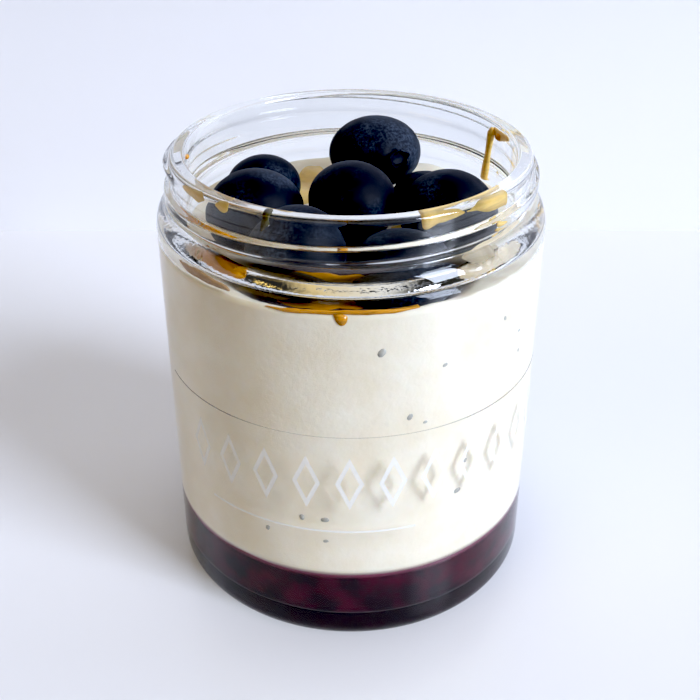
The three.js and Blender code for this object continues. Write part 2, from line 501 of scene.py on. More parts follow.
def dip_share(tree):
    """1 in the dip among the front berries, 0 outside it and on the glass: the mask of the painted shade
    there.
    """
    wall = settings().jar.inner_radius
    scale = (1 / DIP_HALF[0], 1 / DIP_HALF[1], 0)
    shift = (-DIP_MIDDLE[0] * scale[0], -DIP_MIDDLE[1] * scale[1], 0)
    out = vector_length(tree, scaled_place(tree, scale, shift))
    radius = vector_length(tree, scaled_place(tree, (1, 1, 0)))
    in_dip = share_between(tree, out, 1, 0.75)
    off_glass = share_between(tree, radius, wall - 0.5 * MM, wall - 1.5 * MM)
    return calculate(tree, "MULTIPLY", in_dip, off_glass)


def pudding_material():
    """Thick pale pudding, faintly mottled, tinted by the puree below it and darkened with painted shade in
    the dip among the front berries.
    """
    food = settings().food
    material, tree = new_material("Chia pudding")
    mask, relief = add_mottle(tree, 90, 900, 2.4)
    body = blend_colours(tree, mask, food.pudding_shade, food.pudding)
    stain = height_share(tree, food.puree_level, food.puree_level + 0.9 * MM)
    tinted = blend_colours(tree, stain, food.puree_edge, body)
    set_looks(tree, {
        # Painted shade darkens the pudding in the dip among the front berries
        "Base Color": blend_colours(tree, dip_share(tree), tinted, food.dip_shade),
        "Roughness": 0.45,
        "Specular IOR Level": 0.2,
        "Subsurface Weight": 0.25,
        "Subsurface Radius": (1, 0.7, 0.4),
        "Subsurface Scale": 2 * MM,
        "Normal": add_bump(tree, relief, 0.35, 0.6 * MM),
    })
    return material


def seed_material():
    food = settings().food
    material, tree = new_material("Chia seed")
    mask, relief = add_mottle(tree, 1500, 6000, 3)
    set_looks(tree, {
        "Base Color": blend_colours(tree, mask, dimmed(food.seed, 0.7), food.seed),
        "Roughness": 0.4,
        "Normal": add_bump(tree, relief, 0.3, 0.1 * MM),
    })
    return material


def berry_material():
    """Near-black blue skin with patches of waxy bloom and fine pale specks."""
    food = settings().food
    material, tree = new_material("Berry skin")
    mask, relief = add_mottle(tree, 90, 2600, 2.6)
    speckle = add_noise(tree, object_place(tree), 1700, 3, 0.7)
    specks = grey_ramp(tree, speckle, (0.40, 0.15), (0.66, 1))
    patches = grey_ramp(tree, mask, (0.30, 0), (0.95, 1))
    cover = calculate(tree, "MULTIPLY", patches, specks)
    set_looks(tree, {
        "Base Color": blend_colours(tree, cover, food.berry_skin, food.berry_bloom),
        "Roughness": grey_ramp(tree, cover, (0, 0.6), (1, 0.85)),
        "Specular IOR Level": 0.25,
        "Sheen Weight": 0.06,
        "Sheen Roughness": 0.45,
        "Sheen Tint": (0.6, 0.7, 0.9),
        "Normal": add_bump(tree, relief, 0.25, 0.25 * MM),
    })
    return material


def nut_butter_material(name, tone, streak):
    """Glossy nut butter with grain and level streaks, the streaks darker by a share."""
    material, tree = new_material(name)
    mask, relief = add_mottle(tree, 500, 3500, 2.2)
    streaks = add_noise(tree, scaled_place(tree, (1, 1, 6)), 260, 3)
    dark = blend_colours(tree, mask, dimmed(tone, streak), dimmed(tone, 0.9))
    share = grey_ramp(tree, streaks, (0.35, 0), (0.6, 1))
    set_looks(tree, {
        "Base Color": blend_colours(tree, share, dark, tone),
        "Roughness": 0.25,
        "Subsurface Weight": 0.2,
        "Subsurface Radius": (1, 0.5, 0.2),
        "Subsurface Scale": 0.8 * MM,
        "Normal": add_bump(tree, relief, 0.25, 0.15 * MM),
    })
    return material


def print_material(name, tone, cover, cover_in_front):
    """Matt printing ink that lets some of the glass show through, more of it in front where cover_in_front
    is lower: for the fine line this thinning is a painted reflection, standing in for the bright reflection
    that hides the line in front.
    """
    material, tree = new_material(name)
    mask, relief = add_mottle(tree, 900, 5000, 1.5)
    off_middle = calculate(tree, "ABSOLUTE", object_axis(tree, "X"))
    aside = share_between(tree, off_middle, 12 * MM, 27 * MM)
    set_looks(tree, {
        "Base Color": blend_colours(tree, mask, dimmed(tone, 0.92), tone),
        "Roughness": 0.5,
        # Ink that thins in front is a painted reflection
        "Alpha": grey_ramp(tree, aside, (0, cover_in_front), (1, cover)),
        "Normal": add_bump(tree, relief, 0.15, 0.05 * MM),
    })
    return material


def satin_material(name, tone, far_tone):
    """A plain satin surface, clear from behind, that changes tone far in front of the jar."""
    material, tree = new_material(name)
    mask, _ = add_mottle(tree, 12, 300, 1)
    near = blend_colours(tree, mask, dimmed(tone, 0.99), tone)
    far = share_between(tree, object_axis(tree, "Y"), *FAR_FLOOR)
    set_looks(tree, {
        "Base Color": blend_colours(tree, far, near, far_tone),
        "Roughness": 0.22,
        "Specular IOR Level": 0.5,
    })
    behind = add_node(tree, "ShaderNodeNewGeometry").outputs["Backfacing"]
    clear_by_share(tree, behind, (1, 1, 1))
    return material


# -------- jar


def thread_bulge(turn, height):
    """How far the thread stands out of the neck at an angle and height."""
    jar = settings().jar
    front = jar.height - jar.thread_depth
    above = (jar.crest_above, jar.upper_flank)
    below = (jar.crest_below, jar.lower_flank)
    bulge = 0
    for lap in (-1, 0, 1):
        along = turn + lap * math.tau
        offset = height - front - jar.thread_pitch * along / math.tau
        crest, flank = above if offset > 0 else below
        side = 1 - smooth_step(abs(offset), crest, crest + flank)
        ends = smooth_step(along - jar.thread_start, 0, jar.thread_fade)
        ends *= smooth_step(jar.thread_end - along, 0, jar.thread_fade)
        bulge += jar.thread_height * side * ends
    return bulge * smooth_step(jar.height - height, jar.rim_rounding, 1.9 * jar.rim_rounding)


def seam_bulge(turn):
    """The low ridge that the two halves of the mould leave, at the front and the back."""
    jar = settings().jar
    half_width = math.radians(0.9)
    bulge = 0
    for seam in (jar.seam_angle, jar.seam_angle + math.pi, jar.seam_angle - math.pi):
        bulge += jar.seam_height * math.exp(-(((turn - seam) / half_width) ** 2))
    return bulge


def floor_corner_arc(grow):
    """The rounding between the inner wall and floor, grown outwards by a little for the food."""
    jar = settings().jar
    middle = (jar.inner_radius - jar.floor_corner, jar.floor_edge + jar.floor_corner)
    return round_arc(middle, jar.floor_corner + grow, 0, -90, 14)


def jar_profile():
    """The jar's section, from the middle of its base, up the outside and down the inside."""
    jar = settings().jar
    heel_middle = (jar.body_radius - jar.heel_radius, jar.heel_radius)
    shoulder_foot = (jar.neck_radius, jar.shoulder_start)
    shoulder_size = (jar.body_radius - jar.neck_radius, jar.shoulder_height)
    rim_middle = (jar.neck_radius - jar.rim_rounding, jar.height - jar.rim_rounding)
    lip_middle = (jar.mouth_radius + jar.lip_rounding, jar.height - jar.lip_rounding)
    ledge_top = jar.ledge_start + jar.ledge_height
    ledge_steps = 16
    ledge_heights = [mix(ledge_top, jar.ledge_start, step / ledge_steps) for step in range(ledge_steps + 1)]
    return joined_profile(
        [(0, jar.hollow_height)],
        (4 * MM, [(jar.hollow_radius, jar.hollow_height)]),
        (0.7 * MM, [(jar.ring_radius, 0)]),
        (2 * MM, round_arc(heel_middle, jar.heel_radius, -90, 0, 8)),
        (2 * MM, ellipse_arc(shoulder_foot, shoulder_size, 0, 90, 26)),
        (0.1 * MM, round_arc(rim_middle, jar.rim_rounding, 0, 90, 8)),
        (0.6 * MM, round_arc(lip_middle, jar.lip_rounding, 90, 180, 8)),
        (1 * MM, [(inner_wall_radius(height), height) for height in ledge_heights]),
        (2 * MM, floor_corner_arc(0)),
        (4 * MM, [(0, jar.floor_middle)]),
    )


def glass_jar_bmesh():
    jar = settings().jar
    bm = spun(jar_profile(), steps=300)
    neck_middle = (jar.mouth_radius + jar.neck_radius) / 2
    seam_foot = jar.shoulder_start + 0.8 * jar.shoulder_height
    for vert in bm.verts:
        radius = math.hypot(vert.co.x, vert.co.y)
        if vert.co.z < jar.shoulder_start or radius < neck_middle:
            continue
        turn = math.atan2(vert.co.x, -vert.co.y)
        grown = radius + thread_bulge(turn, vert.co.z)
        if vert.co.z > seam_foot:
            grown += seam_bulge(turn)
        vert.co.x *= grown / radius
        vert.co.y *= grown / radius
    return bm


class PUDDING_OT_glass_jar(bpy.types.Operator):
    """Builds the glass jar with its thread and mould seam"""

    bl_idname = "pudding.glass_jar"
    bl_label = "Glass jar"

    def execute(self, context):
        add_piece("glass_jar", glass_jar_bmesh(), glass_material(), replaced="jar")
        return {"FINISHED"}


# -------- food

# Height over which the wavy face between puree and pudding calms down
WAVE_REACH = 3 * MM


def layer_wave(x, y):
    """Slight unevenness of the face where puree and pudding meet."""
    broad = 0.35 * MM * math.sin(x / (6.1 * MM) + 0.8) * math.cos(y / (7.3 * MM))
    return broad + 0.2 * MM * math.sin((x - y) / (4.7 * MM))


def front_hollow(x, y):
    """How far the pudding dips among the front berries, away from the glass."""
    from_wall = settings().jar.inner_radius - math.hypot(x, y)
    out = math.hypot((x - DIP_MIDDLE[0]) / DIP_HALF[0], (y - DIP_MIDDLE[1]) / DIP_HALF[1])
    return DIP_DEPTH * (1 - smooth_step(out, 0.72, 1)) * smooth_step(from_wall, 0.5 * MM, 1.7 * MM)


def pudding_top(x, y):
    """Height of the spooned top of the pudding, before the berries press into it."""
    jar, food = settings().jar, settings().food
    share = math.hypot(x, y) / jar.inner_radius
    sag = food.centre_sag * (1 - share**4)
    lumps = 0.5 * MM * math.sin(x / (5.3 * MM) + 1.1) * math.sin(y / (6.2 * MM) - 0.4)
    lumps += 0.25 * MM * math.cos((x + y) / (3.9 * MM))
    fine = 0.3 * MM * noise.noise(Vector((x, y, 0)) * 260)
    return food.pudding_level - sag + lumps * (1 - min(share, 1) ** 6) + fine - front_hollow(x, y)


def berry_boxes():
    """Middle and half sizes of each packed berry."""
    boxes = []
    for node in BERRY_NODES:
        low, high = (Vector(corner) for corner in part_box(node))
        boxes.append(((low + high) / 2, (high - low) / 2))
    return boxes


def pressed_top(x, y, boxes):
    """Height of the pudding's top with a hollow under each berry."""
    gap = 0.15 * MM
    height = pudding_top(x, y)
    for middle, half in boxes:
        reach = ((x - middle.x) / half.x) ** 2 + ((y - middle.y) / half.y) ** 2
        if reach < 1:
            height = min(height, middle.z - half.z * math.sqrt(1 - reach) - gap)
    return height


class PUDDING_OT_fruit_puree(bpy.types.Operator):
    """Builds the dark layer of fruit puree at the bottom"""

    bl_idname = "pudding.fruit_puree"
    bl_label = "Fruit puree"

    def execute(self, context):
        jar, food = settings().jar, settings().food
        profile = joined_profile(
            [(0, jar.floor_middle - food.into_wall)],
            (3 * MM, floor_corner_arc(food.into_wall)[::-1]),
            (1 * MM, [(jar.inner_radius + food.into_wall, food.puree_level)]),
            (2 * MM, [(0, food.puree_level)]),
        )
        bm = spun(profile, steps=160)
        for vert in bm.verts:
            share = smooth_step(vert.co.z, food.puree_level - WAVE_REACH, food.puree_level)
            vert.co.z += layer_wave(vert.co.x, vert.co.y) * share
        add_piece("puree_layer", bm, puree_material(), replaced="fruit_puree")
        return {"FINISHED"}


class PUDDING_OT_pudding(bpy.types.Operator):
    """Builds the pudding, with a hollow under each berry"""

    bl_idname = "pudding.pudding"
    bl_label = "Pudding"

    def execute(self, context):
        jar, food = settings().jar, settings().food
        wall = jar.inner_radius + food.into_wall
        profile = joined_profile(
            [(0, food.puree_level)],
            (2 * MM, [(wall, food.puree_level)]),
            (1.5 * MM, [(wall, food.pudding_level)]),
            (0.6 * MM, [(0, food.pudding_level)]),
        )
        bm = spun(profile, steps=240)
        boxes = berry_boxes()
        for vert in bm.verts:
            if vert.co.z > food.pudding_level - 0.01 * MM:
                vert.co.z = pressed_top(vert.co.x, vert.co.y, boxes)
                continue
            share = 1 - smooth_step(vert.co.z, food.puree_level, food.puree_level + WAVE_REACH)
            vert.co.z += layer_wave(vert.co.x, vert.co.y) * share
        add_piece("pudding_layer", bm, pudding_material(), replaced="pudding")
        return {"FINISHED"}


# Seeds that show at the front: degrees round the jar, height and size in millimetres
FRONT_SEEDS = (
    (8.5, 65.2, 1.25), (27.5, 60.7, 0.8), (50.1, 65.2, 0.8), (59, 60.2, 0.7), (59.6, 55.8, 0.7),
    (17.1, 51.4, 1.0), (21.9, 49.7, 0.7), (-15, 29.2, 1.0), (-7.9, 29.2, 1.1), (-26.5, 24.7, 0.9),
    (-7.7, 24.1, 0.8), (34.3, 31.7, 1.1), (36.8, 38.1, 0.8),
)
BACK_SEEDS = 30
SEED_SHAPE = Vector((0.55, 1, 0.7))


def add_seed(bm, turn, height, size, draw):
    """One seed sunk in the pudding beside the glass, turned at random."""
    half = SEED_SHAPE * size
    middle = on_circle(turn, settings().jar.inner_radius - 0.5 * half.x, height)
    faced = Matrix.Rotation(turn - math.pi / 2, 4, "Z")
    rolled_over = Matrix.Rotation(draw.uniform(0, math.pi), 4, "X")
    place = Matrix.Translation(middle) @ faced @ rolled_over @ Matrix.Diagonal((*half, 1))
    bmesh.ops.create_icosphere(bm, subdivisions=2, radius=1, matrix=place)


class PUDDING_OT_chia_seeds(bpy.types.Operator):
    """Places the chia seeds that show at the front and scatters more round the back"""

    bl_idname = "pudding.chia_seeds"
    bl_label = "Chia seeds"

    def execute(self, context):
        food = settings().food
        draw = random.Random(7)
        bm = bmesh.new()
        for degrees, height, size in FRONT_SEEDS:
            add_seed(bm, math.radians(degrees), height * MM, size * MM, draw)
        for _ in range(BACK_SEEDS):
            turn = math.radians(draw.uniform(75, 285))
            height = draw.uniform(food.puree_level + 3 * MM, food.pudding_level - 3 * MM)
            add_seed(bm, turn, height, draw.uniform(0.7, 1.1) * MM, draw)
        add_piece("chia_seeds", bm, seed_material())
        return {"FINISHED"}


# -------- berries

# The way each berry's crown faces, and how many degrees it is turned about that way
BERRY_CROWNS = {
    "berry_1": ((0.52, -0.83, 0.17), 20),
    "berry_2": ((-0.2, 0.75, -0.6), 75),
    "berry_3": ((-0.4, 0.7, -0.6), 10),
    "berry_4": ((-0.6, 0.7, 0.4), 130),
    "berry_5": ((0.5, 0.6, -0.6), 60),
    "berry_6": ((0.8, 0.5, 0.3), 0),
    "berry_7": ((0.3, 0.8, -0.5), 40),
    "berry_8": ((-0.2, 0.9, -0.4), 90),
}


def unit_berry_bmesh():
    """A berry one unit in radius, its crown up: body, five-lobed lip, dented middle and scar."""
    crown_radius, body_height = 0.27, 0.94
    lip_radius, lip_middle = 0.035, 0.915
    dent_radius, dent_height, scar_height = 0.17, 0.87, 0.84
    lobes, lobe_rise, lobe_spread = 5, 0.025, 0.09
    profile = joined_profile(
        ellipse_arc((0, 0), (1, body_height), -90, math.degrees(math.acos(crown_radius)), 44),
        (1, round_arc((crown_radius - lip_radius, lip_middle), lip_radius, 0, 180, 6)),
        (0.03, [(dent_radius, dent_height)]),
        (0.04, [(0, scar_height)]),
    )
    bm = spun(profile, steps=100)
    for vert in bm.verts:
        radius = math.hypot(vert.co.x, vert.co.y)
        lobe = math.cos(lobes * math.atan2(vert.co.y, vert.co.x))
        on_lip = smooth_step(vert.co.z, 0.86, 0.94) * smooth_step(0.5 - radius, 0, 0.1)
        ragged = 0.5 * noise.noise(vert.co * 6)
        vert.co.z += lobe_rise * on_lip * (lobe + ragged)
        vert.co.x *= 1 + lobe_spread * on_lip * lobe
        vert.co.y *= 1 + lobe_spread * on_lip * lobe
    return bm


def berry_bmesh(middle, half, crown, twist, seed):
    """A slightly uneven berry in its own box, its crown facing one way."""
    facing = Vector(crown).normalized().to_track_quat("Z", "Y").to_matrix().to_4x4()
    bm = unit_berry_bmesh()
    bm.transform(facing @ Matrix.Rotation(math.radians(twist), 4, "Z"))
    offset = Vector((seed * 3.7, seed * 1.3, -seed * 2.1))
    for vert in bm.verts:
        broad = noise.noise(vert.co * 1.1 + offset)
        fine = noise.noise(vert.co * 5 + offset)
        vert.co *= 1 + 0.025 * broad + 0.006 * fine
    bm.transform(Matrix.Translation(middle) @ Matrix.Diagonal((*half, 1)))
    return bm


class PUDDING_OT_berries(bpy.types.Operator):
    """Builds the berries, each with its crown"""

    bl_idname = "pudding.berries"
    bl_label = "Berries"

    def execute(self, context):
        material = berry_material()
        for seed, (node, (middle, half)) in enumerate(zip(BERRY_NODES, berry_boxes()), start=1):
            bm = berry_bmesh(middle, half, *BERRY_CROWNS[node], seed)
            add_piece(f"fresh_{node}", bm, material, replaced=node)
        return {"FINISHED"}


# -------- nut butter and smears

# Outlines on the inner wall, as (degrees round the jar, height in millimetres) corners
THIN_SMEARS = (
    ((-65.8, 87.2), (-58.4, 87.6), (-50.5, 87.6), (-49.6, 86.9), (-53.5, 85.6), (-58.9, 85.9), (-63, 86.1)),
    (
        (-50.1, 87), (-46.3, 86.9), (-44.1, 86.2), (-42.4, 85.8), (-40.7, 86), (-39.2, 87.3), (-39.2, 88.4),
        (-46.2, 87.5),
    ),
    ((-27.2, 87.6), (-23.9, 87.5), (-20.4, 87.2), (-18.2, 87.5), (-17.2, 88.1), (-21.3, 88)),
    (
        (20.9, 88.2), (21.3, 86.8), (21.7, 85.5), (23.4, 85.2), (26, 86), (30.1, 86.1), (34.3, 86.5),
        (37.3, 86.7), (41.4, 86.3), (45.1, 85.5), (47.9, 85.2), (55.9, 85), (55.7, 88.2), (46.5, 88.1),
        (38, 88.1), (30, 88.2),
    ),
    ((49.1, 83.3), (55.1, 82.2), (51.8, 81.8), (49.2, 82.2)),
    ((48.8, 82.2), (51.9, 81.5), (51.2, 80.1), (48.2, 80.2)),
    ((114.3, 87.8), (109.6, 87.6), (102.3, 87.9), (100.1, 87.4), (106.6, 86), (112.2, 85.3)),
)
# A patch of nut butter on the inner neck, coloured with painted shade
FILM_SMEAR = ((-27.3, 86.8), (-25.2, 87), (-24.7, 86), (-26.1, 85.3), (-27.9, 84.3), (-28, 85))
STAINED_SMEAR = ((-58, 74.7), (-46, 75), (-36, 74.4), (-35, 73.7), (-44, 73.6), (-54, 73.8))
PUDDING_SMEARS = (
    (
        (33, 77), (36, 78.8), (44, 80.2), (52, 79.8), (58, 80.8), (66, 80), (67, 77.6), (58, 76.4), (47, 76),
        (39, 76),
    ),
    ((-66, 79), (-60, 79.6), (-51, 78.9), (-54, 77.6), (-63, 77.6)),
)
THICK_SMEARS = (
    (
        (-72, 78), (-60, 78.8), (-49.4, 78.9), (-38, 79), (-33, 78), (-38, 76.6), (-47.8, 76.2), (-60, 76.2),
        (-70, 77),
    ),
    (
        (-25, 72.8), (-18.2, 72.4), (-11.1, 72.6), (-3, 72.8), (10.5, 72.7), (20, 73.2), (2.4, 73.6),
        (-13.9, 73.3),
    ),
    ((-5.1, 73.2), (-0.8, 72.5), (-1.2, 71), (-2.6, 70.6), (-4, 71.2)),
)
# Beads on the inner wall: degrees, height and radius in millimetres
BEADS = ((109.3, 86.4, 0.8), (-90, 86.4, 0.45))
# Pools on the pudding: X, Y, half width, half depth and thickness in millimetres
POOLS = ((-3, -19, 9, 6, 0.4), (3, -30.8, 8, 1.4, 0.3))
THIN_POOLS = ((-8, 20, 4, 8, 0.35), (11, 2, 3, 4, 0.3))


def drop_bmesh(place, half_width, half_height, thickness, seed, ragged):
    """A flattened, uneven drop, pressed just into the surface that place(u, v, off) puts it on."""
    pressed_in = 0.12 * MM
    bm = bmesh.new()
    bmesh.ops.create_uvsphere(bm, u_segments=90, v_segments=22, radius=1)
    for vert in bm.verts:
        turn = math.atan2(vert.co.y, vert.co.x)
        across, up = math.cos(turn), math.sin(turn)
        ring = Vector((across, up, seed * 4.1))
        oval = 1 / math.hypot(across / half_width, up / half_height)
        uneven = 1 + ragged * (noise.noise(ring * 1.6) + 0.4 * noise.noise(ring * 4.2))
        away = math.hypot(vert.co.x, vert.co.y) * oval * uneven
        u, v = away * across, away * up
        lumps = 1 + 0.3 * noise.noise(Vector((u, v, 0)) * 500)
        off = vert.co.z * (thickness * lumps if vert.co.z > 0 else pressed_in)
        vert.co = place(u, v, off)
    bmesh.ops.recalc_face_normals(bm, faces=bm.faces)
    return bm


def bead_bmesh(degrees, height, radius):
    """A round bead on the inner wall."""

    def place(u, v, off):
        turn = math.radians(degrees) + u / settings().jar.mouth_radius
        return on_circle(turn, inner_wall_radius(height + v) - off, height + v)

    return drop_bmesh(place, radius, radius, radius, seed=3, ragged=0.12)


def pool_bmesh(x, y, half_width, half_depth, thickness, seed):
    """A shallow pool on the pudding's top."""
    boxes = berry_boxes()

    def place(u, v, off):
        return Vector((x + u, y + v, pressed_top(x + u, y + v, boxes) + off))

    return drop_bmesh(place, half_width, half_depth, thickness, seed, ragged=0.4)


def smear_bmesh(corners, thickness):
    """A thin smear on the inner wall, pressed a little into it, from (degrees, millimetres) corners."""
    across = settings().jar.mouth_radius
    into_glass = 0.2 * MM
    rounding, edge, ragged = 0.9 * MM, 0.25 * MM, 0.16 * MM
    strip = 1 * MM
    bm = bmesh.new()
    places = [(math.radians(turn) * across, height * MM, -into_glass) for turn, height in corners]
    ring = [bm.verts.new(place) for place in places]
    face = bm.faces.new(ring)
    face.normal_update()
    if face.normal.z < 0:
        bmesh.ops.reverse_faces(bm, faces=[face])
    bmesh.ops.bevel(
        bm, geom=ring, offset=rounding, affect="VERTICES", segments=4, profile=0.5, material=-1,
        clamp_overlap=True,
    )
    sides = bmesh.ops.extrude_face_region(bm, geom=bm.faces[:], use_keep_orig=True)["geom"]
    raised = [item for item in sides if isinstance(item, bmesh.types.BMVert)]
    bmesh.ops.translate(bm, verts=raised, vec=(0, 0, into_glass))
    top = [item for item in sides if isinstance(item, bmesh.types.BMFace) and item.normal.z > 0.5]
    bmesh.ops.inset_region(bm, faces=top, thickness=edge, depth=thickness, use_boundary=True)
    low = min(vert.co.x for vert in bm.verts)
    high = max(vert.co.x for vert in bm.verts)
    for step in range(1, int((high - low) / strip)):
        geometry = [*bm.verts, *bm.edges, *bm.faces]
        cut = (low + step * strip, 0, 0)
        bmesh.ops.bisect_plane(bm, geom=geometry, plane_co=cut, plane_no=(1, 0, 0))
    for vert in bm.verts:
        height = vert.co.y + ragged * noise.noise(vert.co * 900)
        vert.co = on_circle(vert.co.x / across, inner_wall_radius(height) - vert.co.z, height)
    bmesh.ops.recalc_face_normals(bm, faces=bm.faces)
    return bm


def smear_bmeshes(outlines, thickness):
    return [smear_bmesh(corners, thickness) for corners in outlines]


def pools_bmesh(pools):
    """Pools on the pudding's top, each uneven in its own way, as one bmesh."""
    in_metres = [[value * MM for value in pool] for pool in pools]
    return joined_bmesh([pool_bmesh(*pool, seed) for seed, pool in enumerate(in_metres)])


def strand_bmesh():
    """A strand of nut butter that hangs down the inner wall from the rim to the pudding."""
    top_degrees, low_degrees = 113.9, 118.9
    top, low = 87.6 * MM, 74.5 * MM
    half_width, half_thickness = 0.85 * MM, 0.6 * MM
    bm = bmesh.new()
    bmesh.ops.create_cone(bm, cap_ends=True, segments=18, radius1=1, radius2=1, depth=2)
    upright = [edge for edge in bm.edges if abs(edge.verts[0].co.z - edge.verts[1].co.z) > 1]
    bmesh.ops.subdivide_edges(bm, edges=upright, cuts=40, use_grid_fill=True)
    for vert in bm.verts:
        share = (1 - vert.co.z) / 2
        swell = 1 + 0.12 * math.sin(9 * share + 1) + 0.1 * noise.noise(Vector((0, 0, 14 * share)))
        swell *= math.sqrt(max(0.15, min(1, 12 * share)))
        height = mix(top, low, share)
        off_wall = half_thickness * (0.7 - vert.co.y * swell)
        radius = inner_wall_radius(height) - off_wall
        turn = math.radians(mix(top_degrees, low_degrees, share**0.9))
        turn += vert.co.x * half_width * swell / radius
        vert.co = on_circle(turn, radius, height)
    bmesh.ops.recalc_face_normals(bm, faces=bm.faces)
    return bm


class PUDDING_OT_nut_butter(bpy.types.Operator):
    """Builds the nut butter: pools on the pudding, a hanging strand, beads and smears"""

    bl_idname = "pudding.nut_butter"
    bl_label = "Nut butter"

    def execute(self, context):
        food = settings().food
        thick = nut_butter_material("Nut butter", food.nut_butter, 0.5)
        thin = nut_butter_material("Thin nut butter", food.nut_butter_thin, 0.75)
        # Nut butter darkened with painted shade, for the patch on the neck
        film = nut_butter_material("Film of nut butter", food.shaded_film, 0.7)
        pale = nut_butter_material("Smeared pudding", food.smeared_pudding, 0.85)
        stained = nut_butter_material("Stained pudding", food.stained_pudding, 0.8)
        beads = [bead_bmesh(degrees, height * MM, radius * MM) for degrees, height, radius in BEADS]
        drips = [*smear_bmeshes(THICK_SMEARS, 0.6 * MM), *beads]
        smears = [*smear_bmeshes(THIN_SMEARS, 0.25 * MM), strand_bmesh()]
        pieces = (
            ("nut_butter_drips", joined_bmesh(drips), thick),
            ("nut_butter_pools", pools_bmesh(POOLS), thick),
            ("nut_butter_smears", joined_bmesh(smears), thin),
            ("thin_pools", pools_bmesh(THIN_POOLS), thin),
            ("nut_butter_film", smear_bmesh(FILM_SMEAR, 0.1 * MM), film),
            ("pudding_smears", joined_bmesh(smear_bmeshes(PUDDING_SMEARS, 0.15 * MM)), pale),
            ("stained_smears", smear_bmesh(STAINED_SMEAR, 0.2 * MM), stained),
        )
        for name, bm, material in pieces:
            add_piece(name, bm, material)
        return {"FINISHED"}


# -------- print

# Flat layouts stand in the XZ plane, and are then wrapped round the jar
UPRIGHT = Matrix.Rotation(math.pi / 2, 4, "X")


def wrapped_round(bm):
    """Wraps a flat layout, X along the girth and Z up, round the outside of the jar."""
    body_radius = settings().jar.body_radius
    for vert in bm.verts:
        vert.co = on_circle(vert.co.x / body_radius, body_radius + 0.03 * MM, vert.co.z)
    return bm


def flat_place(degrees, height, half_width, half_height):
    """Places a flat unit shape in the layout, at its size."""
    along = math.radians(degrees) * settings().jar.body_radius
    size = Matrix.Diagonal((half_width, half_height, 1, 1))
    return Matrix.Translation((along, 0, height)) @ UPRIGHT @ size


def add_strip(bm, low_degrees, high_degrees, height, width):
    """A flat strip between two angles at one height."""
    half_length = math.radians(high_degrees - low_degrees) / 2 * settings().jar.body_radius
    place = flat_place((low_degrees + high_degrees) / 2, height, half_length, width / 2)
    bmesh.ops.create_grid(bm, x_segments=90, y_segments=1, size=1, matrix=place)


def add_lozenge(bm, degrees, height, half_width, half_height, line_width):
    """The flat outline of a lozenge round one angle and height."""
    place = flat_place(degrees, height, half_width, half_height)
    ring = bmesh.ops.create_circle(bm, cap_ends=True, segments=4, radius=1, matrix=place)
    face = ring["verts"][0].link_faces[0]
    bmesh.ops.inset_region(bm, faces=[face], thickness=line_width, use_boundary=True, use_even_offset=True)
    bmesh.ops.delete(bm, geom=[face], context="FACES")


class PUDDING_OT_print(bpy.types.Operator):
    """Prints a row of lozenges between two plain lines on the glass"""

    bl_idname = "pudding.print"
    bl_label = "Print"

    def execute(self, context):
        food = settings().food
        lozenges = 11
        first_degrees, spacing_degrees = -50, 12.4
        white = bmesh.new()
        add_strip(white, -46, 19, 27.8 * MM, 0.45 * MM)
        for step in range(lozenges):
            degrees = first_degrees + step * spacing_degrees
            add_lozenge(white, degrees, 38.8 * MM, 2.6 * MM, 5.8 * MM, 0.78 * MM)
        fine = bmesh.new()
        add_strip(fine, -67, 80, 49 * MM, 0.22 * MM)
        white_ink = print_material("White print", food.print_white, 0.85, 0.85)
        # The fine line thins to 0.22 in front: a painted reflection, hiding it there
        fine_ink = print_material("Fine line", food.print_fine, 0.8, 0.22)
        add_piece("printed_shapes", wrapped_round(white), white_ink)
        add_piece("printed_line", wrapped_round(fine), fine_ink)
        return {"FINISHED"}


# -------- stage

# How far the floor and wall reach, how high the wall is, and the floor's drop below the jar
STAGE_REACH = 6
WALL_HEIGHT = 1.2
FLOOR_DROP = 0.05 * MM
# Y between which the floor in front of the jar turns to its far tone
FAR_FLOOR = (-130 * MM, -185 * MM)
# The camera's focal length in millimetres, and its sideways shift
CAMERA_LENS = 56.57
CAMERA_SHIFT = -0.0015
# The way from the jar to the bright part of the ceiling, and how closely a direction must face it
CEILING_WAY = (0, -0.42, 0.908)
CEILING_EDGE = (0.84, 0.94)
# A point about half-way up the jar, which the lights face, and how far away they stand
LIT_POINT = Vector((0, 0, 40 * MM))
LIGHT_DISTANCE = 4


def add_area_light(name, degrees, elevation, size, watts, tone):
    """A rectangular light that faces the jar from an angle round it and an angle above the floor."""
    light = bpy.data.lights.new(name, "AREA")
    light.shape = "RECTANGLE"
    light.size, light.size_y = size
    light.energy = watts
    light.color = tone
    lamp = link_object(name, light)
    rise = math.radians(elevation)
    out, up = LIGHT_DISTANCE * math.cos(rise), LIGHT_DISTANCE * math.sin(rise)
    lamp.location = on_circle(math.radians(degrees), out, up)
    lamp.rotation_mode = "QUATERNION"
    lamp.rotation_quaternion = (LIT_POINT - lamp.location).to_track_quat("-Z", "Y")


def add_camera():
    stage = settings().stage
    camera = link_object("camera", bpy.data.cameras.new("camera"))
    camera.data.lens = CAMERA_LENS
    camera.data.shift_x = CAMERA_SHIFT
    camera.data.clip_start = 10 * MM
    camera.location = (0, -stage.camera_distance, stage.camera_height)
    camera.rotation_euler = (math.pi / 2 - stage.camera_pitch, 0, 0)
    bpy.context.scene.camera = camera


